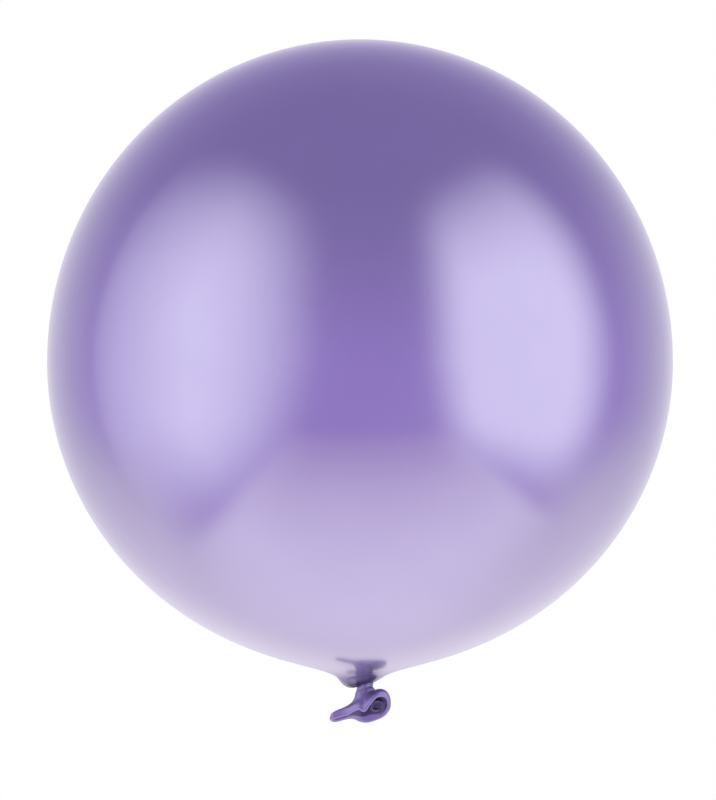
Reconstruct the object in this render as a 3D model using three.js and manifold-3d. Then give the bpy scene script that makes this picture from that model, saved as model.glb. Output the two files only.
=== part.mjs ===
// Round latex party balloon, blown up and tied in an overhand knot at its neck.
// Millimetres, +Z up. The origin is the tie point: the waist of the tied neck, on the balloon's axis.
// The real balloon is one dipped film. Each stretch where the film changes form is a solid of its own:
// the inflated envelope, the pleated neck, the strand and the loop of the knot, the stalk below it,
// the flared mouth and the rolled bead round the mouth.

import * as THREE from 'three';
import { mergeVertices } from 'three/addons/utils/BufferGeometryUtils.js';
import Module from 'manifold-3d';

const wasm = await Module();
wasm.setup();

// Envelope
const bodyRadius = 140;
const widestHeight = 146.7; // height of the widest ring above the tie point
const crownRise = 144.3; // from the widest ring to the top
const bellyDrop = 136.4; // from the widest ring to where the belly would end without a neck
const envelopeWall = 0.25;
const neckPullDepth = 8.65; // how far the tie pulls the belly down at neckPullRadius
const neckPullRadius = 6.5;
const neckPullPower = 1.09;
const neckOpeningRadius = 8.9;
const envelopeColumns = 36;

// Film and gaps round the tie
const film = 0.4;
const gap = 0.3;
const tieOffset = 2.3; // the knot sits beside the balloon's axis
const gatherPleats = 13;
const gatherPleatDepth = 0.22;

// Knot
const loopRadius = 2.95;
const loopHalfWidth = 0.7;
const loopHalfHeight = 1.05;
const loopHeight = 1.75;
const strandRadius = 1.9;
const strandTop = 4.5;
const strandBottom = 0.6;
const strandFlareRadius = 3.6;

// Tail
const flexHeight = -1.1; // where the tail bends, under the knot
const stalkRadius = 1.7;
const stalkRise = 1.4;
const stalkDrop = 2.4;
const throatHeight = -1.5;
const throatHalfWidth = 3.9;
const throatHalfDepth = 2.8;
const throatTilt = 0.6;
const beadRadius = 0.95;
const skirtColumns = 48;
const skirtRows = 6;
const smallestEdge = 0.02;
const beadSteps = 72;
const beadSides = 8;

// Middle line of the rolled bead, once round the mouth: the tip of the folded ear, the front lip with
// its droop, the round open lobe and the back lip.
const mouthLine = new THREE.CatmullRomCurve3([
  new THREE.Vector3(-12.6, 0.1, -13.1),
  new THREE.Vector3(-12.1, -1.0, -12.5),
  new THREE.Vector3(-10.6, -1.4, -11.9),
  new THREE.Vector3(-8.0, -1.6, -11.0),
  new THREE.Vector3(-5.4, -2.2, -10.0),
  new THREE.Vector3(-2.8, -3.0, -8.8),
  new THREE.Vector3(-0.4, -3.8, -8.2),
  new THREE.Vector3(1.7, -4.4, -8.9),
  new THREE.Vector3(3.4, -4.9, -6.9),
  new THREE.Vector3(5.5, -5.2, -4.2),
  new THREE.Vector3(7.7, -4.9, -2.4),
  new THREE.Vector3(10.1, -3.7, -2.2),
  new THREE.Vector3(12.1, -1.9, -3.4),
  new THREE.Vector3(12.9, -0.2, -5.7),
  new THREE.Vector3(12.7, 1.0, -8.1),
  new THREE.Vector3(11.5, 2.2, -10.3),
  new THREE.Vector3(9.4, 3.2, -12.1),
  new THREE.Vector3(6.4, 3.8, -13.5),
  new THREE.Vector3(3.0, 4.0, -14.4),
  new THREE.Vector3(0.3, 3.7, -13.9),
  new THREE.Vector3(-1.9, 3.1, -12.9),
  new THREE.Vector3(-4.4, 2.4, -12.4),
  new THREE.Vector3(-7.2, 1.8, -12.8),
  new THREE.Vector3(-10.0, 1.5, -13.6),
  new THREE.Vector3(-11.9, 1.2, -13.8),
], true, 'centripetal');

// --- geometry helpers ---

// Moves every vertex of a geometry to place(x, y, z) and welds its seams.
function warp(geometry, place) {
  const source = geometry.getAttribute('position');
  for (let i = 0; i < source.count; i++) {
    const moved = place(source.getX(i), source.getY(i), source.getZ(i));
    source.setXYZ(i, moved.x, moved.y, moved.z);
  }
  geometry.deleteAttribute('normal');
  geometry.deleteAttribute('uv');
  const welded = mergeVertices(geometry, 1e-4);
  welded.computeVertexNormals();
  return welded;
}

// A unit sleeve: an open-ended tube of height 1 with a wall, outer radius 2 and inner radius 1.
function sleeve(rows, columns) {
  const profile = [];
  for (let i = 0; i <= rows; i++) profile.push(new THREE.Vector2(2, i / rows));
  for (let i = rows; i >= 0; i--) profile.push(new THREE.Vector2(1, i / rows));
  profile.push(new THREE.Vector2(2, 0));
  return new THREE.LatheGeometry(profile, columns);
}

// Bends a unit sleeve onto surface(turn, along), with turn and along from 0 to 1. The sleeve's inner
// wall lies off the surface by thickness, on the side that inward names (1 or -1).
function skin(surface, rows, columns, thickness, inward) {
  const step = 1e-3;
  return warp(sleeve(rows, columns), (x, y, z) => {
    const turn = (Math.atan2(x, z) / (2 * Math.PI) + 1) % 1;
    const point = surface(turn, y);
    if (Math.hypot(x, z) > 1.5) return point;
    const across = surface((turn + step) % 1, y).sub(surface((turn - step + 1) % 1, y));
    const along = surface(turn, Math.min(1, y + step)).sub(surface(turn, Math.max(0, y - step)));
    const normal = across.cross(along).normalize();
    return point.addScaledVector(normal, inward * thickness);
  });
}

// A round tube about a closed curve.
function ring(curve, radius, steps, sides) {
  const frames = curve.computeFrenetFrames(steps, true);
  return warp(new THREE.TorusGeometry(10, 1, sides, steps), (x, y, z) => {
    const turn = (Math.atan2(y, x) / (2 * Math.PI) + 1) % 1;
    const index = Math.round(turn * steps) % steps;
    const point = curve.getPointAt(index / steps);
    point.addScaledVector(frames.normals[index], radius * (Math.hypot(x, y) - 10));
    return point.addScaledVector(frames.binormals[index], -radius * z);
  });
}

// Point at t on a cubic curve with four control values.
function bezier(a, b, c, d, t) {
  const s = 1 - t;
  return a * s ** 3 + 3 * b * s * s * t + 3 * c * s * t * t + d * t ** 3;
}

function toSolid(geometry) {
  const vertProperties = new Float32Array(geometry.getAttribute('position').array);
  const triVerts = new Uint32Array(geometry.index.array);
  return new wasm.Manifold(new wasm.Mesh({ numProp: 3, vertProperties, triVerts }));
}

function toGeometry(solid) {
  const mesh = solid.getMesh();
  const geometry = new THREE.BufferGeometry();
  geometry.setAttribute('position', new THREE.BufferAttribute(mesh.vertProperties, 3));
  geometry.setIndex(new THREE.BufferAttribute(mesh.triVerts, 1));
  geometry.computeVertexNormals();
  return geometry;
}

// A profile of [radius, height] pairs turned about the Z axis.
function turned(profile, columns) {
  const geometry = new THREE.LatheGeometry(profile.map(([r, h]) => new THREE.Vector2(r, h)), columns);
  return geometry.rotateX(Math.PI / 2);
}

function namedMesh(name, geometry, color, roughness) {
  const material = new THREE.MeshStandardMaterial({ color, roughness, metalness: 0.6 });
  const mesh = new THREE.Mesh(geometry, material);
  mesh.name = name;
  return mesh;
}

// --- envelope ---

// Height of the belly at a radius: half an ellipse, pulled down towards the tie.
function bellyHeight(radius) {
  const ratio = radius / bodyRadius;
  const pull = neckPullDepth * (neckPullRadius / radius) ** neckPullPower * (1 - ratio * ratio);
  return widestHeight - bellyDrop * Math.sqrt(1 - ratio * ratio) - pull;
}

// Outer outline from the neck's opening up to the crown.
function envelopeOutline() {
  const outline = [];
  const shoulderRadius = 30;
  const neckRows = 5;
  const bellyRows = 8;
  const crownRows = 8;
  for (let i = 0; i < neckRows; i++) {
    const radius = neckOpeningRadius * (shoulderRadius / neckOpeningRadius) ** (i / neckRows);
    outline.push([radius, bellyHeight(radius)]);
  }
  const sweep = Math.acos(shoulderRadius / bodyRadius);
  for (let i = 0; i < bellyRows; i++) {
    const radius = bodyRadius * Math.cos(sweep * (1 - i / bellyRows));
    outline.push([radius, bellyHeight(radius)]);
  }
  for (let i = 0; i < crownRows; i++) {
    const angle = (Math.PI / 2) * (i / crownRows);
    outline.push([bodyRadius * Math.cos(angle), widestHeight + crownRise * Math.sin(angle)]);
  }
  outline.push([0, widestHeight + crownRise]);
  return outline;
}

// The same outline moved inwards by the wall.
function insetOutline(outline, wall) {
  return outline.map(([radius, height], i) => {
    if (radius === 0) return [0, height - wall];
    const [r0, h0] = outline[Math.max(0, i - 1)];
    const [r1, h1] = outline[i + 1];
    const length = Math.hypot(r1 - r0, h1 - h0);
    return [radius - (wall * (h1 - h0)) / length, height + (wall * (r1 - r0)) / length];
  });
}

function makeEnvelope() {
  const outer = envelopeOutline();
  const inner = insetOutline(outer, envelopeWall);
  return turned([...inner.reverse(), ...outer], envelopeColumns);
}

// --- tied neck ---

// The pleated film between the envelope and the knot. It hangs lowest on the side away from the knot,
// as a fold that half hides the knot.
function gatherSurface(turn, along) {
  const angle = 2 * Math.PI * turn;
  const side = Math.cos(angle);
  const outerRadius = neckOpeningRadius - gap;
  const innerRadius = loopRadius + loopHalfWidth + film;
  const centre = bezier(0, -0.1, tieOffset, tieOffset, along);
  const radius = bezier(outerRadius, outerRadius - 0.7, innerRadius + 0.65, innerRadius, along);
  const fold = bezier(4.1 + 0.1 * side, 2.45 + 1.25 * side, 1.3 + 2 * side, 3.1, along);
  const pleat = gatherPleatDepth * Math.cos(gatherPleats * angle) * 4 * along * (1 - along);
  return new THREE.Vector3(centre + radius * side, radius * Math.sin(angle), fold + pleat);
}

// The strand of gathered film that runs down through the loop and stops the air.
function makeStrand() {
  const neckStart = 3.2; // top of the narrow part
  const profile = [
    [0, strandBottom],
    [strandRadius, strandBottom],
    [strandRadius, neckStart],
    [strandFlareRadius, strandTop - 0.5],
    [strandFlareRadius, strandTop],
    [0, strandTop],
  ];
  return turned(profile, 24).translate(tieOffset, 0, 0);
}

// The turn of film wrapped round the strand.
function makeLoop() {
  const torus = new THREE.TorusGeometry(10, 1, 8, 24);
  return warp(torus, (x, y, z) => {
    const reach = Math.hypot(x, y);
    const radius = loopRadius + loopHalfWidth * (reach - 10);
    const height = loopHeight + loopHalfHeight * z;
    return new THREE.Vector3(tieOffset + (radius * x) / reach, (radius * y) / reach, height);
  });
}

// --- tail ---

// The closed end of the strand below the knot, on which the tail bends.
function makeStalk() {
  return warp(new THREE.SphereGeometry(1, 16, 8), (x, y, z) => {
    const reach = y > 0 ? stalkRise : stalkDrop;
    return new THREE.Vector3(tieOffset + stalkRadius * x, stalkRadius * z * -1, flexHeight + reach * y);
  });
}

// The flared film from the throat, under the knot, to the middle of the bead. turn runs once round from
// the ear's tip by way of the front lip. Each line from throat to lip is a cubic: it leaves outwards on
// the side of the open lobe and downwards elsewhere, and it comes onto the bead from above.
function mouthSurface(turn, along) {
  const angle = Math.PI + 2 * Math.PI * turn;
  const c = Math.cos(angle);
  const s = Math.sin(angle);
  const lip = mouthLine.getPointAt(turn);
  const startX = tieOffset + throatHalfWidth * c;
  const startY = throatHalfDepth * s;
  const startZ = throatHeight + throatTilt * c;
  const leaveX = 2.3 * c + 1.7 * c * c;
  const leaveY = 0.7 * s;
  const leaveZ = 3.8 * c - 3.2 * c * c - (3.2 + 0.7 * s) * s * s;
  const meetX = 0.8 * c - 0.2 * c * c;
  const meetY = 0.3 * s * s;
  const meetZ = -0.2 * c + 4.4 * c * c + (3.2 + 0.7 * s) * s * s;
  return new THREE.Vector3(
    bezier(startX, startX + leaveX, lip.x + meetX, lip.x, along),
    bezier(startY, startY + leaveY, lip.y + meetY, lip.y, along),
    bezier(startZ, startZ + leaveZ, lip.z + meetZ, lip.z, along),
  );
}

// The mouth's film ends short of the bead all the way round. The cut's tiny edges are closed up, and
// the crumbs that it leaves are dropped.
function makeSkirt() {
  const wholeFilm = toSolid(skin(mouthSurface, skirtRows, skirtColumns, film, -1));
  const clearance = toSolid(ring(mouthLine, beadRadius + gap, beadSteps, beadSides));
  const pieces = wholeFilm.subtract(clearance).simplify(smallestEdge).decompose();
  pieces.sort((a, b) => b.volume() - a.volume());
  return toGeometry(pieces[0]);
}

const balloon = new THREE.Group();
balloon.add(namedMesh('envelope', makeEnvelope(), 0xa894d8, 0.28));
balloon.add(namedMesh('neck_gather', skin(gatherSurface, 7, 3 * gatherPleats, film, -1), 0x8f7ac4, 0.36));
balloon.add(namedMesh('knot_strand', makeStrand(), 0x7a66b0, 0.42));
balloon.add(namedMesh('knot_loop', makeLoop(), 0x7a66b0, 0.42));
balloon.add(namedMesh('tail_stalk', makeStalk(), 0x7a66b0, 0.42));
balloon.add(namedMesh('mouth_skirt', makeSkirt(), 0x7f6bb8, 0.42));
balloon.add(namedMesh('mouth_bead', ring(mouthLine, beadRadius, beadSteps, beadSides), 0x7460aa, 0.45));

export default balloon;
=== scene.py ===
import math
import bpy
import numpy as np
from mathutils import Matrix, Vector


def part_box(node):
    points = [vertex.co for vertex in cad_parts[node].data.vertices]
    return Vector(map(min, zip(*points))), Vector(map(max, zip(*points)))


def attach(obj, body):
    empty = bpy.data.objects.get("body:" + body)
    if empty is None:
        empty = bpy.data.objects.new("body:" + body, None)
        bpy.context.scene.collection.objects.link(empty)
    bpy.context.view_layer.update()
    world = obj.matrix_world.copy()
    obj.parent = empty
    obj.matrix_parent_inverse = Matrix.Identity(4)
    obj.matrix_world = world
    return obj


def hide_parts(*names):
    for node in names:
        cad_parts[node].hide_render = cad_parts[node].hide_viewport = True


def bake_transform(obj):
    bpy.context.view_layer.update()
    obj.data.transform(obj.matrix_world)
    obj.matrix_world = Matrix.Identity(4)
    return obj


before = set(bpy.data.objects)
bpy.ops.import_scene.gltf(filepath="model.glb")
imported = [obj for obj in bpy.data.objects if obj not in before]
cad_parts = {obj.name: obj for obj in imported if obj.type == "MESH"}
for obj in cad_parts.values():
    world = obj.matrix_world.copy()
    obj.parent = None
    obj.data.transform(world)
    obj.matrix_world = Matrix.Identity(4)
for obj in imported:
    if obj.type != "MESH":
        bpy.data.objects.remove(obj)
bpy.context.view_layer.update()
mm = 0.001

envelopeLow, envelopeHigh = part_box("envelope")
loopLow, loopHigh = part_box("knot_loop")
stalkLow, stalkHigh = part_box("tail_stalk")
bodyRadius = (envelopeHigh.x - envelopeLow.x) / 2
crownHeight = envelopeHigh.z
tieX = (loopLow.x + loopHigh.x) / 2  # the knot sits beside the balloon's axis
loopMiddle = (loopLow.z + loopHigh.z) / 2
loopOuter = (loopHigh.x - loopLow.x) / 2


def splinePoint(a, b, c, d, u):
    # Catmull-Rom: a cubic from b at u = 0 to c at u = 1, with slopes (c - a) / 2 and (d - b) / 2
    return 0.5 * (2 * b + (c - a) * u + (2 * a - 5 * b + 4 * c - d) * u**2 + (3 * b - a - 3 * c + d) * u**3)


def through(points, t):
    # a smooth line through the control rows, t from 0 to 1 over all of them
    points = np.asarray(points, float)
    padded = np.vstack([2 * points[0] - points[1], points, 2 * points[-1] - points[-2]])
    place = np.clip(np.asarray(t, float), 0, 1) * (len(points) - 1)
    start = np.minimum(place.astype(int), len(points) - 2)
    u = (place - start)[..., None]
    a, b, c, d = (padded[start + k] for k in range(4))
    return splinePoint(a, b, c, d, u)


def closedThrough(points, count):
    # the same kind of line, closed, then set out again in count even steps
    points = np.asarray(points, float)
    fine = np.linspace(0, len(points), 64 * len(points), endpoint=False)
    start = fine.astype(int)
    u = (fine - start)[:, None]
    a, b, c, d = (points[(start + k) % len(points)] for k in (-1, 0, 1, 2))
    line = splinePoint(a, b, c, d, u)
    step = np.linalg.norm(np.roll(line, -1, 0) - line, axis=1)
    length = np.concatenate([[0], np.cumsum(step)])
    looped = np.vstack([line, line[:1]])
    even = np.linspace(0, length[-1], count, endpoint=False)
    return np.stack([np.interp(even, length, looped[:, k]) for k in range(3)], 1)


def cubic(a, b, c, d, t):
    # Bezier cubic: four controls weighted by (1-t)^3, 3(1-t)^2 t, 3(1-t) t^2 and t^3
    s = 1 - t
    return a * s**3 + 3 * b * s * s * t + 3 * c * s * t * t + d * t**3


def ease(t):
    t = np.clip(t, 0, 1)
    return t * t * (3 - 2 * t)


def gridNormals(grid):
    # cross product of the differences along the rows and round the columns
    along = np.gradient(grid, axis=0)
    around = (np.roll(grid, -1, 1) - np.roll(grid, 1, 1)) / 2
    normal = np.cross(around, along)
    size = np.linalg.norm(normal, axis=2, keepdims=True)
    return normal / np.maximum(size, 1e-15)


def makePiece(name, grid, stretch, shade=0.0, closedRows=False, poles=(None, None)):
    # a mesh from a grid of rows and closed columns; a pole is one point that closes an end
    rows, columns = grid.shape[:2]
    index = np.arange(rows * columns).reshape(rows, columns)
    if closedRows:
        index = np.vstack([index, index[:1]])
    right = np.roll(index, -1, 1)
    first = np.stack([index[:-1], right[:-1], right[1:]], 2).reshape(-1, 3)
    second = np.stack([index[:-1], right[1:], index[1:]], 2).reshape(-1, 3)
    points = grid.reshape(-1, 3)
    faces = [first, second]
    for pole, row, flip in ((poles[0], index[0], True), (poles[1], index[-1], False)):
        if pole is None:
            continue
        tip = np.full(columns, len(points))
        points = np.vstack([points, np.asarray(pole, float)[None]])
        fan = np.stack([row, np.roll(row, -1), tip], 1)
        faces.append(fan[:, ::-1] if flip else fan)
    faces = np.vstack(faces)
    # a sixth of the sum of a . (b x c) is the volume; below zero the faces look inwards
    a, b, c = (points[faces[:, k]] for k in range(3))
    if np.einsum("ij,ij->i", a, np.cross(b, c)).sum() < 0:
        faces = faces[:, ::-1]
    mesh = bpy.data.meshes.new(name)
    mesh.vertices.add(len(points))
    mesh.vertices.foreach_set("co", points.astype(np.float32).ravel())
    mesh.loops.add(faces.size)
    mesh.loops.foreach_set("vertex_index", faces.astype(np.int32).ravel())
    mesh.polygons.add(len(faces))
    mesh.polygons.foreach_set("loop_start", np.arange(0, faces.size, 3, dtype=np.int32))
    mesh.polygons.foreach_set("loop_total", np.full(len(faces), 3, np.int32))
    mesh.polygons.foreach_set("use_smooth", np.ones(len(faces), bool))
    for key, field in (("stretch", stretch), ("shade", shade)):
        spread = np.broadcast_to(field, (rows, columns))
        ends = [spread[row].mean() for pole, row in zip(poles, (0, -1)) if pole is not None]
        layer = mesh.attributes.new(key, "FLOAT", "POINT")
        layer.data.foreach_set("value", np.concatenate([spread.ravel(), ends]).astype(np.float32))
    mesh.update()
    mesh.validate()
    piece = bpy.data.objects.new(name, mesh)
    bpy.context.scene.collection.objects.link(piece)
    return piece


def wrinkle(turn, waves, wander, phase=0.0):
    # rounded ridges with sharp valleys: |cos| of a wandering angle, less its mean, from -0.64 to 0.36
    angle = np.pi * waves * turn + wander * np.sin(4 * np.pi * turn + phase) + phase
    return np.abs(np.cos(angle)) - 0.64


def columnsOf(count):
    return np.arange(count) / count


def surface(x, y, z):
    return np.stack(np.broadcast_arrays(x, y, z), -1)


class Wire:
    # one socket of a node tree, which can be used in sums
    def __init__(self, tree, socket=None):
        self.tree = tree
        self.socket = socket

    def make(self, kind, settings=None, inputs=None, output=0):
        # the settings come first, as some of them change the node's sockets
        node = self.tree.nodes.new(kind)
        for key, value in (settings or {}).items():
            setattr(node, key, value)
        for key, value in (inputs or {}).items():
            if isinstance(value, Wire):
                self.tree.links.new(value.socket, node.inputs[key])
            else:
                node.inputs[key].default_value = value
        return Wire(self.tree, node.outputs[output] if len(node.outputs) else None)

    def math(self, operation, first, second=0.0):
        return self.make("ShaderNodeMath", {"operation": operation}, {0: first, 1: second})

    def __add__(self, other):
        return self.math("ADD", self, other)

    def __radd__(self, other):
        return self.math("ADD", other, self)

    def __sub__(self, other):
        return self.math("SUBTRACT", self, other)

    def __rsub__(self, other):
        return self.math("SUBTRACT", other, self)

    def __mul__(self, other):
        return self.math("MULTIPLY", self, other)

    def __rmul__(self, other):
        return self.math("MULTIPLY", other, self)

    def __truediv__(self, other):
        return self.math("DIVIDE", self, other)

    def __rtruediv__(self, other):
        return self.math("DIVIDE", other, self)

    def __neg__(self):
        return self * -1

    def atLeast(self, other):
        return self.math("MAXIMUM", self, other)

    def atMost(self, other):
        return self.math("MINIMUM", self, other)

    def absolute(self):
        return self.math("ABSOLUTE", self)

    def between(self, low, high):
        # 0 below low, 1 above high, eased in between
        settings = {"interpolation_type": "SMOOTHSTEP"}
        return self.make("ShaderNodeMapRange", settings, {0: self, 1: low, 2: high, 3: 0.0, 4: 1.0})


def mixColor(factor, first, second, blend="MIX"):
    # the colour sockets of a Mix node are its seventh and eighth inputs and third output
    wire = next(w for w in (factor, first, second) if isinstance(w, Wire))
    settings = {"data_type": "RGBA", "blend_type": blend}
    return wire.make("ShaderNodeMix", settings, {0: factor, 6: first, 7: second}, 2)


def separate(wire):
    node = wire.make("ShaderNodeSeparateXYZ", inputs={0: wire}).socket.node
    return [Wire(wire.tree, node.outputs[k]) for k in range(3)]


envelopeFilm = {
    "columns": 312,
    "crownRows": 56,
    "bellyRows": 64,
    "neckRows": 130,
    "crownRise": 144.3 * mm,  # from the widest ring to the crown
    "bellyDrop": 136.4 * mm,
    "pullDepth": 8.65 * mm,  # how far the tie pulls the belly down at pullRadius
    "pullRadius": 6.5 * mm,
    "pullPower": 1.09,
    "shoulderRadius": 36 * mm,
    "neckRadius": 16 * mm,
    "shoulderStops": [36, 30, 25, 21, 18, 15.5, 13.4, 11.6],  # in mm, on the belly's own curve
    "pleats": 15,
    "pleatDepth": 0.42 * mm,
    "pleatRadius": 11 * mm,  # where the pleats have died out
    "finePleats": 41,
    "finePleatDepth": 0.12 * mm,
    # the rest of the outline, distance and height in mm: on the side the knot leans to it runs
    # straight into the knot, on the other side it hangs as a small bag
    "nearSide": [(9.9, 5.15), (8.4, 4.25), (7.2, 3.7), (6.3, 3.3), (5.3, 3.0), (4.0, 3.1), (2.6, 3.5)],
    "farSide": [(10.2, 5.2), (9.0, 3.7), (7.7, 2.3), (6.0, 1.15), (3.9, 0.72), (1.7, 1.0), (0.4, 2.6)],
    "smoothing": 9,
    "bagPower": 2.6,  # above 1 the bag takes up less of the turn
    # middles of the painted shade near the knot, in mm: the crease in front and the corner on the right
    "creasePoint": (0.0, -4.6, 1.7),
    "cornerPoint": (6.6, -1.0, 3.3),
}


def bellyHeight(radius):
    # half an ellipse, less a power of the radius: the belly pulled down towards the tie
    p = envelopeFilm
    ratio = radius / bodyRadius
    pull = p["pullDepth"] * (p["pullRadius"] / radius) ** p["pullPower"] * (1 - ratio**2)
    return crownHeight - p["crownRise"] - p["bellyDrop"] * np.sqrt(1 - ratio**2) - pull


def smoothed(line, width):
    # a bell-weighted average along the line, which is turned about its ends to keep them in place
    reach = 4 * width
    before = 2 * line[0] - line[reach:0:-1]
    after = 2 * line[-1] - line[-2:-reach - 2:-1]
    padded = np.vstack([before, line, after])
    weight = np.exp(-((np.arange(-reach, reach + 1) / width) ** 2) / 2)
    weight /= weight.sum()
    return np.stack([np.convolve(padded[:, k], weight, "valid") for k in range(line.shape[1])], 1)


def neckOutline(side, count):
    p = envelopeFilm
    stops = np.array(p["shoulderStops"], float) * mm
    belly = np.stack([stops, bellyHeight(stops)], 1)
    line = through(np.vstack([belly, np.array(p[side]) * mm]), np.linspace(0, 1, 301))
    line = smoothed(line, p["smoothing"])
    place = np.linspace(0, 1, count) * 300
    return np.stack([np.interp(place, np.arange(301), line[:, k]) for k in range(2)], 1)


def makeEnvelopeFilm():
    # rings from the crown to the knot: an ellipse above the widest ring, the belly's curve below it, then
    # the neck; pleats are added along the normal
    p = envelopeFilm
    turn = columnsOf(p["columns"])
    angle = 2 * np.pi * turn
    crownAngle = np.linspace(0, np.pi / 2, p["crownRows"] + 1)[1:-1]
    crownRadius = bodyRadius * np.sin(crownAngle)
    crownZ = crownHeight - p["crownRise"] * (1 - np.cos(crownAngle))
    sweep = math.acos(p["shoulderRadius"] / bodyRadius)
    bellyRadius = bodyRadius * np.cos(np.linspace(0, sweep, p["bellyRows"], endpoint=False))
    radius = np.concatenate([crownRadius, bellyRadius])
    height = np.concatenate([crownZ, bellyHeight(bellyRadius)])
    body = surface(radius[:, None] * np.cos(angle), radius[:, None] * np.sin(angle), height[:, None])
    # neck: the two outlines mixed round the turn, on rings whose middle moves over to the knot
    near = neckOutline("nearSide", p["neckRows"])
    far = neckOutline("farSide", p["neckRows"])
    share = ((1 - np.cos(angle)) / 2)[None] ** p["bagPower"]
    middle = tieX * ease((p["neckRadius"] * 1.6 - near[:, :1]) / (p["neckRadius"] * 1.3))
    nearReach = near[:, :1] - middle
    farReach = far[:, :1] + middle
    reach = nearReach * (1 - share) + farReach * share
    neckZ = near[:, 1:] * (1 - share) + far[:, 1:] * share
    neck = surface(middle + reach * np.cos(angle), reach * np.sin(angle), neckZ)
    grid = np.vstack([body, neck])
    radiusRow = np.concatenate([radius, near[:, 0]])
    closeness = ease((p["neckRadius"] * 2 - radiusRow) / (p["neckRadius"] * 2))[:, None]
    pleated = ease((p["pleatRadius"] - radiusRow) / (p["pleatRadius"] * 0.7))[:, None]
    normal = gridNormals(grid)
    coarse = wrinkle(turn, p["pleats"], 0.5, 0.7)[None]
    folds = coarse * pleated * p["pleatDepth"]
    fine = wrinkle(turn, p["finePleats"], 1.3, 2.1)[None] * pleated**2 * p["finePleatDepth"]
    outward = np.where(normal[len(radius) // 2, 0, 0] > 0, 1.0, -1.0)
    grid = grid + normal * outward * (folds + fine)[..., None]
    # slacker film low on the belly is darker and rougher; its darker colour is also painted reflection of
    # the dark things below the balloon
    slackAndReflection = ease((70 * mm - radiusRow) / (50 * mm))[:, None]
    stretch = 1 - 0.3 * slackAndReflection - 0.5 * closeness**1.5
    # painted shade: darker in the creases, under the bag, in the pleats' valleys and where the film goes
    # into the knot
    crease = np.linalg.norm(grid / mm - p["creasePoint"], axis=2)
    corner = np.linalg.norm(grid / mm - p["cornerPoint"], axis=2)
    under = ease((2.6 * mm - grid[..., 2]) / (1.9 * mm))
    shade = 0.8 * np.exp(-((crease / 4.2) ** 2)) + 0.6 * np.exp(-((corner / 2.0) ** 2))
    shade = shade + 0.55 * under + 0.85 * closeness**2 * (1 - 0.4 * closeness) - 0.5 * coarse * pleated
    spot = 1 - ease((np.hypot(grid[..., 0], grid[..., 1]) - 4 * mm) / (10 * mm))
    stretch = np.where(grid[..., 2] > crownHeight / 2, 1 - 0.3 * spot, stretch)
    lowest = grid[-1].mean(0) + np.array([0, 0, 0.3 * mm])
    piece = makePiece("envelope_film", grid, stretch, shade, poles=((0, 0, crownHeight), lowest))
    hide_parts("envelope", "neck_gather")
    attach(piece, "balloon")
    return piece


knotLoop = {
    "columns": 192,
    "sides": 96,
    "tilt": math.radians(8),  # the loop dips on the side away from the open lobe
    "halfWidth": 0.78 * mm,
    "halfHeight": 1.34 * mm,
    "square": 0.75,  # below 1 the section is squarer
    "ridges": 7,
    "ridgeDepth": 0.13 * mm,
    "lean": 5,  # turns that the ridges make once round the loop
}


def signedPower(value, power):
    return np.sign(value) * np.abs(value) ** power


def makeKnotLoop():
    # a rounded-square section carried round a tilted circle, with ridges that spiral round it
    p = knotLoop
    turn = 2 * np.pi * columnsOf(p["columns"])[:, None]
    side = 2 * np.pi * columnsOf(p["sides"])[None]
    ridge = np.abs(np.cos(p["ridges"] * side + p["lean"] * turn + 0.6 * np.sin(3 * turn))) - 0.64
    bulge = 1 + 0.06 * np.sin(2 * turn + 0.8) + 0.04 * np.sin(5 * turn + 2)
    width = (p["halfWidth"] + p["ridgeDepth"] * ridge) * bulge
    height = (p["halfHeight"] + p["ridgeDepth"] * ridge) * bulge
    reach = loopOuter - p["halfWidth"] + width * signedPower(np.cos(side), p["square"])
    level = height * signedPower(np.sin(side), p["square"])
    x = reach * np.cos(turn)
    c, s = math.cos(p["tilt"]), math.sin(p["tilt"])
    grid = surface(tieX + x * c + level * s, reach * np.sin(turn), loopMiddle + level * c + x * s)
    # painted shade: darker in the valleys between the ridges, none on their tops
    piece = makePiece("knot_loop_film", grid, 0.3, 0.25 - 0.9 * ridge, closedRows=True)
    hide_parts("knot_loop")
    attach(piece, "balloon")
    return piece


knotStrand = {
    "columns": 144,
    "rows": 64,
    "radius": 2.05 * mm,
    "swell": 0.5,  # share by which it is wider at the top
    "pleats": 9,
    "pleatDepth": 0.35 * mm,
    "twist": 0.9,
}


def makeKnotStrand():
    # a twisted, pleated column that swells at the top, where it leaves the neck
    p = knotStrand
    low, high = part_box("knot_strand")
    t = np.linspace(0, 1, p["rows"])[:, None]
    around = columnsOf(p["columns"])[None]
    turn = around + p["twist"] * t / 2
    radius = p["radius"] * (1 + p["swell"] * ease((t - 0.72) / 0.28))
    radius = radius + p["pleatDepth"] * wrinkle(turn, p["pleats"], 0.3)
    angle = 2 * np.pi * around
    bottom = low.z
    z = bottom + (high.z - bottom) * t
    grid = surface(tieX + radius * np.cos(angle), radius * np.sin(angle), z)
    ends = ((tieX, 0, bottom), (tieX, 0, high.z))
    # painted shade over the whole strand
    piece = makePiece("knot_strand_film", grid, 0.2, 0.5, poles=ends)
    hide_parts("knot_strand")
    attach(piece, "balloon")
    return piece


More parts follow.
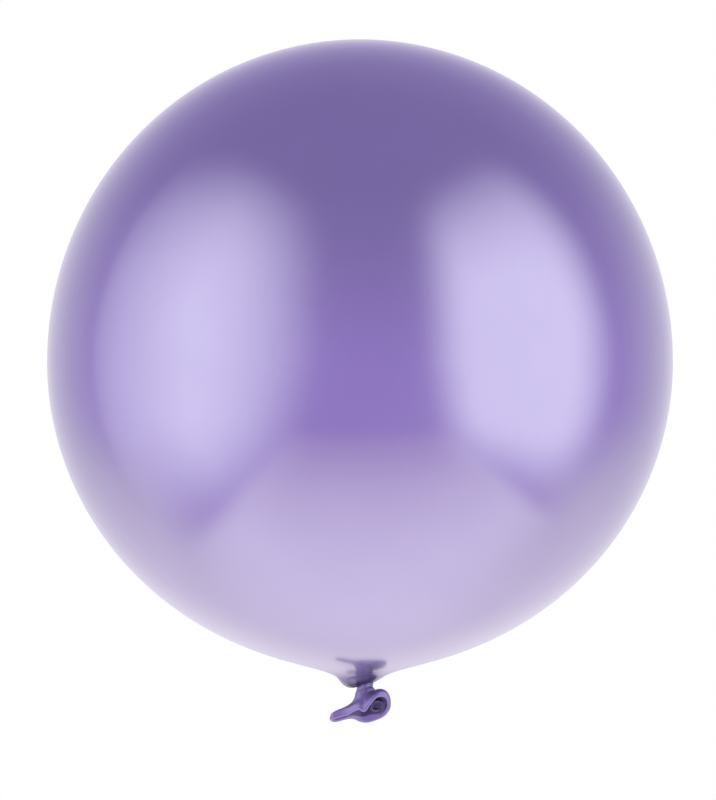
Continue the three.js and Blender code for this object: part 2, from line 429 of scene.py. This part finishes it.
tail = {
    "columns": 384,
    "film": 0.32 * mm,
    "throatX": 2.05 * mm,
    "throatZ": -1.5 * mm,
    "throatHalfWidth": 4.15 * mm,
    "throatHalfDepth": 2.8 * mm,
    "throatTilt": 1.0 * mm,
    "axisTilt": 0.6 * mm,
    "bendLength": 4 * mm,
    # middle line of the bead, in mm: ear's tip, front lip and its droop, open lobe, back lip
    "mouthLine": [
        (-12.6, 0.1, -13.1), (-12.1, -0.6, -12.6), (-10.6, -0.8, -12.1), (-8.0, -0.9, -11.4),
        (-5.4, -1.5, -10.5), (-2.8, -2.6, -8.8), (-0.4, -3.8, -8.0), (1.7, -4.4, -8.8),
        (3.4, -4.9, -6.9), (5.5, -5.2, -4.2), (7.7, -4.9, -2.4), (10.1, -3.7, -2.2),
        (12.1, -1.9, -3.4), (12.9, -0.2, -5.7), (12.7, 1.0, -8.1), (11.5, 2.2, -10.3),
        (9.4, 3.2, -12.1), (6.4, 3.8, -13.5), (3.0, 4.0, -14.4), (0.3, 3.7, -13.9),
        (-1.9, 2.9, -12.9), (-4.4, 1.6, -12.4), (-7.2, 0.6, -12.9), (-10.0, 0.5, -13.6),
        (-11.9, 0.7, -13.8),
    ],
}


def throatRing(angle):
    # a tilted ellipse
    p = tail
    x = p["throatX"] + p["throatHalfWidth"] * np.cos(angle)
    return surface(x, p["throatHalfDepth"] * np.sin(angle), p["throatZ"] + p["throatTilt"] * np.cos(angle))


mouthFilm = {
    "rows": 72,
    "onBead": 0.78 * mm,  # from the bead's middle to where the sheet meets it
    "folds": 9,
    "foldDepth": 0.16 * mm,
    # the fold on the back wall inside the mouth: its middle and radius in mm, and its height
    "innerMiddle": (7.7, -7.4),
    "innerRadius": 2.3,
    "innerFold": 0.9 * mm,
}


def mouthSurface(count, along):
    # cubics from the throat's ring to the bead's middle line: each leaves outwards on the side of the
    # open lobe and downwards elsewhere, and comes onto the bead from above
    lip = closedThrough(tail["mouthLine"], count) * mm
    angle = np.pi + 2 * np.pi * columnsOf(count)
    start = throatRing(angle)
    c, s = np.cos(angle), np.sin(angle)
    lobe = np.maximum(c, 0) ** 3
    leave = np.stack([
        2.3 * c + 1.7 * c * c - 1.0 * lobe,
        0.7 * s,
        3.8 * c - 3.2 * c * c - (3.2 + 0.7 * s) * s * s + 1.0 * lobe,
    ], 1) * mm
    meet = np.stack([
        0.8 * c - 0.2 * c * c,
        0.3 * s * s,
        -0.2 * c + 4.4 * c * c + (3.2 + 0.7 * s) * s * s - 1.0 * lobe,
    ], 1) * mm
    # the sheet comes onto the outer face of the bead in front and onto its inner face at the back
    t = np.asarray(along)[:, None, None]
    last = np.linspace(0.9, 1, 3)[:, None, None]
    ending = cubic(start[None], (start + leave)[None], (lip + meet)[None], lip[None], last)
    side = 2 * ease((lip[:, 1:2] + 0.3 * mm) / (1.5 * mm)) - 1
    lip = lip + gridNormals(ending)[-1] * side * mouthFilm["onBead"]
    return cubic(start[None], (start + leave)[None], (lip + meet)[None], lip[None], t)


def shell(sheet, thickness):
    # two layers, half the thickness to each side of the sheet, joined at both ends
    normal = gridNormals(sheet)
    outer = sheet + normal * thickness / 2
    inner = sheet - normal * thickness / 2
    return np.vstack([outer, inner[::-1]])


def bendWithTail(piece):
    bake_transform(piece)


def makeMouthFilm():
    # the mouth's surface with folds along it, made a shell with two layers
    p = mouthFilm
    along = np.concatenate([[0, 0.002, 0.006], np.linspace(0.012, 1, p["rows"]) ** 1.15])
    sheet = mouthSurface(tail["columns"], along)
    turn = columnsOf(tail["columns"])[None]
    fade = (ease(along / 0.12) * (1 - ease((along - 0.1) / 0.75)))[:, None]
    folds = wrinkle(turn, p["folds"], 0.8, 0.4) * p["foldDepth"] * fade
    # inner fold: a ridge round part of a circle on the back wall, a bell across it
    x, y, z = (sheet[..., k] / mm for k in range(3))
    innerX, innerZ = p["innerMiddle"]
    bearing = np.arctan2(z - innerZ, x - innerX)
    away = np.hypot(x - innerX, z - innerZ)
    across = (away - p["innerRadius"] - 0.35 * np.sin(2 * bearing + 0.6)) / 0.5
    gap = np.exp(-(((bearing + 0.6) / 1.0) ** 2)) + 0.7 * np.exp(-(((bearing - 2.5) / 0.4) ** 2))
    ridge = np.exp(-(across**2)) * ease((y + 1.2) / 1.5) * (1 - np.minimum(gap, 1))
    sheet = sheet - gridNormals(sheet) * folds[..., None]
    grid = shell(sheet, tail["film"])
    # only the inner layer is raised, so the fold doesn't show from behind
    rows = len(along)
    grid[:rows] += gridNormals(sheet) * (ridge * p["innerFold"])[..., None]
    # painted shade inside the mouth: the inner layer is darkened from the throat out to the bead, less on
    # the inner fold's ridge, with a light band along the back lip; the outer layer gets a little painted
    # shade near the throat
    backLip = np.exp(-(((turn - 0.72) / 0.07) ** 2))
    edge = 0.99 - 0.15 * backLip
    insideShade = (1 - ease((along[:, None] - edge + 0.07) / 0.08)) * (1 - 0.7 * ridge)
    outsideShade = np.broadcast_to(0.15 * (1 - ease(along / 0.3))[:, None], insideShade.shape)
    shade = np.vstack([insideShade, outsideShade[::-1]])
    piece = makePiece("mouth_film", grid, 0.12, shade, closedRows=True)
    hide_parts("mouth_skirt")
    bendWithTail(piece)
    return piece


mouthBead = {
    "columns": 480,
    "sides": 40,
    "radius": 0.98 * mm,
    "inside": (0, 0, -6 * mm),  # a point inside the mouth, from which the section is turned outwards
}


def makeMouthBead():
    # a round section carried along the mouth's line, with a slow swell and the edge of the roll
    p = mouthBead
    count = p["columns"]
    line = closedThrough(tail["mouthLine"], count) * mm
    tangent = np.roll(line, -1, 0) - np.roll(line, 1, 0)
    tangent /= np.linalg.norm(tangent, axis=1, keepdims=True)
    outward = line - np.array(p["inside"])
    first = np.cross(tangent, np.cross(outward, tangent))
    first /= np.linalg.norm(first, axis=1, keepdims=True)
    second = np.cross(tangent, first)
    turn = columnsOf(count)[:, None]
    side = 2 * np.pi * columnsOf(p["sides"])[None]
    swell = 1 + 0.05 * np.sin(2 * np.pi * 5 * turn + 1) + 0.03 * np.sin(2 * np.pi * 13 * turn)
    groove = 1 - 0.07 * np.exp(-(((side - 2.2 - 0.4 * np.sin(2 * np.pi * 3 * turn)) / 0.22) ** 2))
    radius = (p["radius"] * swell * groove)[..., None]
    grid = line[:, None] + radius * (
        first[:, None] * np.cos(side)[..., None] + second[:, None] * np.sin(side)[..., None]
    )
    piece = makePiece("mouth_bead_roll", grid, 0.05, 0.0, closedRows=True)
    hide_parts("mouth_bead")
    bendWithTail(piece)
    return piece


throatFilm = {
    "rows": 40,
    # reach as a share of the ring's, and height in mm above the ring
    "outline": [(0.50, 2.35), (0.72, 2.25), (0.82, 1.85), (0.88, 1.2), (0.95, 0.55), (1.0, 0.0)],
    "spread": 0.55 * mm,
    "folds": 13,
    "foldDepth": 0.12 * mm,
}


def makeThroatFilm():
    # an outline from the strand, out under the loop and down, scaled to the throat's ring all round
    p = throatFilm
    angle = np.pi + 2 * np.pi * columnsOf(tail["columns"])
    ring = throatRing(angle)
    t = np.concatenate([[0], np.linspace(0.01, 0.98, p["rows"]), [0.99, 0.997, 1]])
    outline = through(p["outline"], t)
    middle = tieX * (1 - t)[:, None] + tail["throatX"] * t[:, None]
    reach = outline[:, :1]
    x = middle + reach * (ring[:, 0] - tail["throatX"])[None]
    # on the side of the open lobe the film spreads a little before it reaches the ring
    x = x + p["spread"] * np.sin(np.pi * t[:, None]) ** 1.5 * np.maximum(np.cos(angle), 0)[None] ** 2
    y = reach * ring[:, 1][None]
    z = tail["throatZ"] + tail["throatTilt"] * np.cos(angle)[None] * t[:, None] ** 2 + outline[:, 1:] * mm
    sheet = surface(x, y, z)
    turn = columnsOf(tail["columns"])[None]
    fade = (ease(t / 0.3) * (1 - ease((t - 0.8) / 0.2)))[:, None]
    folds = wrinkle(turn, p["folds"], 0.6, 1.9) * p["foldDepth"] * fade
    sheet = sheet + gridNormals(sheet) * folds[..., None]
    grid = shell(sheet, tail["film"])
    # a little painted shade over the whole throat film
    piece = makePiece("throat_film", grid, 0.18, 0.1, closedRows=True)
    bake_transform(piece)
    return piece


throatCore = {
    "columns": 160,
    "rows": 60,
    "pleats": 9,
    "pleatDepth": 0.22,  # as a share of the radius
    "twist": 0.15,
}


def makeThroatCore():
    # the folded end of the strand, deep inside the mouth: an egg with pleats that wind round it
    p = throatCore
    t = np.linspace(0.02, 0.98, p["rows"])[:, None]
    turn = columnsOf(p["columns"])[None]
    middle = (stalkLow + stalkHigh) / 2
    half = (stalkHigh - stalkLow) / 2
    pleat = 1 + p["pleatDepth"] * wrinkle(turn + p["twist"] * t, p["pleats"], 0.5) * np.sin(np.pi * t)
    angle = 2 * np.pi * turn
    reach = np.sin(np.pi * t) ** 0.8 * pleat
    x = middle.x + half.x * reach * np.cos(angle)
    grid = surface(x, half.y * reach * np.sin(angle), middle.z + half.z * np.cos(np.pi * t))
    ends = ((middle.x, 0, stalkHigh.z), (middle.x, 0, stalkLow.z))
    # strong painted shade over the whole core, which sits deep inside the mouth
    piece = makePiece("throat_core", grid, 0.1, 0.7, poles=ends)
    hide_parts("tail_stalk")
    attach(piece, "throat")
    return piece


latex = {
    "relaxedColor": (0.172, 0.124, 0.330, 1),
    "stretchedColor": (0.335, 0.300, 0.470, 1),
    "paleColor": (0.400, 0.365, 0.540, 1),
    "flakeColor": (0.230, 0.190, 0.390, 1),
    "shadeColor": (0.030, 0.022, 0.068, 1),
    "relaxedRoughness": 0.42,
    "stretchedRoughness": 0.17,
    "coatRoughness": 0.10,
    # the scale of each pattern, per metre
    "flakes": 2600,
    "grain": 900,
    "clouds": 26,
    "bump": 0.10,
    "bumpDepth": 0.02 * mm,
    # metallic and coat of each film: the more it is stretched, the more it shines
    "finishes": {"stretched_film": (0.86, 0.4), "gathered_film": (0.6, 0.35), "tail_film": (0.55, 0.3)},
}


def makeLatex(name):
    p = latex
    metallic, coat = p["finishes"][name]
    material = bpy.data.materials.new(name)
    material.use_nodes = True
    tree = material.node_tree
    tree.nodes.clear()
    start = Wire(tree)
    place = start.make("ShaderNodeTexCoord", output="Object")
    stretch = start.make("ShaderNodeAttribute", {"attribute_name": "stretch"}, output="Fac")
    shade = start.make("ShaderNodeAttribute", {"attribute_name": "shade"}, output="Fac")
    clouds = start.make("ShaderNodeTexNoise", {}, {"Vector": place, "Scale": p["clouds"], "Detail": 3.0})
    flakes = start.make("ShaderNodeTexVoronoi", {}, {"Vector": place, "Scale": p["flakes"]}, "Distance")
    grain = start.make("ShaderNodeTexNoise", {}, {"Vector": place, "Scale": p["grain"], "Detail": 4.0})
    # the film is paler and glossier where it is stretched
    color = mixColor(stretch, p["relaxedColor"], p["stretchedColor"])
    lighter = mixColor(clouds.between(0.35, 0.7) * 0.16, color, p["paleColor"])
    speckled = mixColor(flakes.between(0.1, 0.6) * 0.12, lighter, p["flakeColor"])
    # painted shade: the shade attribute mixes the colour towards shadeColor
    shaded = mixColor(shade.atLeast(0.0).atMost(1.0) * 0.9, speckled, p["shadeColor"])
    rough = p["relaxedRoughness"] - (p["relaxedRoughness"] - p["stretchedRoughness"]) * stretch
    rough = rough + (clouds - 0.5) * 0.04 + (grain - 0.5) * 0.03
    height = grain * 0.6 + flakes * 0.4
    relief = {"Height": height, "Strength": p["bump"], "Distance": p["bumpDepth"]}
    bump = start.make("ShaderNodeBump", {}, relief)
    film = start.make("ShaderNodeBsdfPrincipled", {}, {
        "Base Color": shaded,
        "Roughness": rough,
        "Metallic": metallic,
        "Normal": bump,
        "Coat Weight": coat,
        "Coat Roughness": p["coatRoughness"],
        "Coat IOR": 1.5,
        "IOR": 1.52,
    })
    start.make("ShaderNodeOutputMaterial", {}, {0: film})
    return material


studio = {
    # the dark side of the room, round the camera, level and overhead
    "frontLevel": (0.72, 0.52, 1.05, 1),
    "frontTop": (0.455, 0.363, 0.68, 1),
    # the white sweep behind: overhead, level, low and underneath
    "backTop": (0.50, 0.43, 0.72, 1),
    "backLevel": (0.88, 0.84, 0.97, 1),
    "backLow": (1.28, 1.21, 1.25, 1),
    "underneath": (1.66, 1.60, 1.60, 1),
    "tableEdge": (0.92, 0.72, 1.08, 1),
    "panel": (1.92, 1.92, 1.92, 1),
    # each panel: its bearing from the camera's side, its edges as tangents from its middle,
    # and how much of its light is lost towards the outer edge
    "left": {"bearing": -66, "inner": (0.05, 1.42), "outer": (1.02, 1.12), "top": (0.20, 2.0),
             "bottom": (0.30, 1.35), "loss": 0.76, "lean": 0.4, "level": 1.0},
    "right": {"bearing": 67.7, "inner": (0.42, 1.08), "outer": (0.20, 0.88), "top": (0.20, 1.9),
              "bottom": (0.30, 0.95), "loss": 0.1, "lean": 0.3, "level": 1.07},
    "tableMiddle": 0.15,
    "tableHalfWidth": 1.0,
    "tableReach": 1.75,
}


def panelMask(x, y, z, panel, outerSign):
    # the panel is flat: a direction meets it at (d.t, d.z) / (d.n)
    bearing = math.radians(panel["bearing"])
    facing = x * math.sin(bearing) - y * math.cos(bearing)
    across = x * math.cos(bearing) + y * math.sin(bearing)
    safe = facing.atLeast(0.02)
    u = across / safe * outerSign
    v = z / safe
    mask = 1 - u.between(*panel["outer"])
    lean = (-v).atLeast(0.0) * panel["lean"]
    mask = mask * (1 - (lean - u).between(*panel["inner"]))
    mask = mask * (1 - v.between(*panel["top"])) * (1 - (-v).between(*panel["bottom"]))
    mask = (mask * (1 - u.atLeast(0.0) * panel["loss"])).atLeast(0.0)
    return mask * facing.between(0.02, 0.1) * panel["level"]


def makeWorld():
    # the light that comes from each direction; the camera itself sees plain white
    p = studio
    world = bpy.data.worlds.new("studio")
    bpy.context.scene.world = world
    world.use_nodes = True
    tree = world.node_tree
    tree.nodes.clear()
    start = Wire(tree)
    x, y, z = separate(start.make("ShaderNodeTexCoord", output="Generated"))
    left = panelMask(x, y, z, p["left"], -1)
    right = panelMask(x, y, z, p["right"], 1)
    panels = left.atLeast(right)
    down = -z
    below = down.atLeast(0.02)
    tableX = x / below - p["tableMiddle"]
    tableY = y / below
    reach = p["tableReach"]
    width = p["tableHalfWidth"]
    table = tableY.between(-reach * 1.1, -reach * 0.92) * down.between(0.1, 0.2)
    table = table * (1 - tableX.absolute().between(width * 0.9, width * 1.12))
    front = mixColor(z.between(-0.1, 0.9), p["frontLevel"], p["frontTop"])
    near = mixColor(tableY.between(-reach, 0.15), p["tableEdge"], p["underneath"])
    front = mixColor(table, front, near)
    behind = mixColor(z.between(0.0, 0.8), p["backLevel"], p["backTop"])
    behind = mixColor(down.between(0.0, 0.7), behind, p["backLow"])
    behind = mixColor(down.between(0.65, 1.0), behind, p["underneath"])
    rearward = y + down.between(0.1, 0.55) * 0.45
    light = mixColor(rearward.between(0.18, 0.92), front, behind)
    light = mixColor(panels, light, p["panel"])
    seen = start.make("ShaderNodeLightPath", output="Is Camera Ray")
    shown = mixColor(seen, light, (1, 1, 1, 1))
    background = start.make("ShaderNodeBackground", {}, {0: shown, 1: 1.0})
    start.make("ShaderNodeOutputWorld", {}, {0: background})


def makeFloor():
    # a pale floor below the balloon; from underneath it can be seen through
    level = crownHeight - bodyRadius - 0.62
    bpy.ops.mesh.primitive_plane_add(size=60, location=(0, 0, level))
    floor = bpy.context.object
    floor.name = "floor"
    material = bpy.data.materials.new("floor_white")
    material.use_nodes = True
    tree = material.node_tree
    tree.nodes.clear()
    start = Wire(tree)
    white = start.make("ShaderNodeEmission", {}, {0: (1, 1, 1, 1), 1: 1.0})
    clear = start.make("ShaderNodeBsdfTransparent")
    back = start.make("ShaderNodeNewGeometry", output="Backfacing")
    shown = start.make("ShaderNodeMixShader", {}, {0: back, 1: white, 2: clear})
    start.make("ShaderNodeOutputMaterial", {}, {0: shown})
    floor.data.materials.append(material)
    floor.visible_glossy = False
    floor.visible_diffuse = False
    floor.visible_shadow = False


camera = {
    "distance": 2.0,
    "widthShare": 0.8743,  # of the picture's width that the balloon fills
    "sideways": -0.9 * mm,
    "belowWidest": 17.0 * mm,
    "film": 36.0,
    "aspect": 716 / 800,
}


def makeCamera():
    p = camera
    data = bpy.data.cameras.new("camera")
    data.sensor_fit = "AUTO"
    data.sensor_width = p["film"]
    silhouette = 2 * math.tan(math.asin(bodyRadius / p["distance"]))
    frameHeight = silhouette / p["widthShare"] / p["aspect"]
    data.lens = p["film"] / frameHeight
    data.clip_start = 0.01
    data.clip_end = 200
    shot = bpy.data.objects.new("camera", data)
    bpy.context.scene.collection.objects.link(shot)
    widest = crownHeight - envelopeFilm["crownRise"]
    shot.location = (p["sideways"], -p["distance"], widest - p["belowWidest"])
    shot.rotation_euler = (math.pi / 2, 0, 0)
    bpy.context.scene.camera = shot


bpy.context.scene.view_settings.view_transform = "Standard"
makeCamera()
makeWorld()
makeFloor()
print("studio and camera")

films = {name: makeLatex(name) for name in latex["finishes"]}
print("materials")

makeEnvelopeFilm().data.materials.append(films["stretched_film"])
print("envelope")
for piece in (makeKnotLoop(), makeKnotStrand()):
    piece.data.materials.append(films["gathered_film"])
print("knot")
for piece in (makeThroatFilm(), makeThroatCore(), makeMouthFilm(), makeMouthBead()):
    piece.data.materials.append(films["tail_film"])
print("tail")
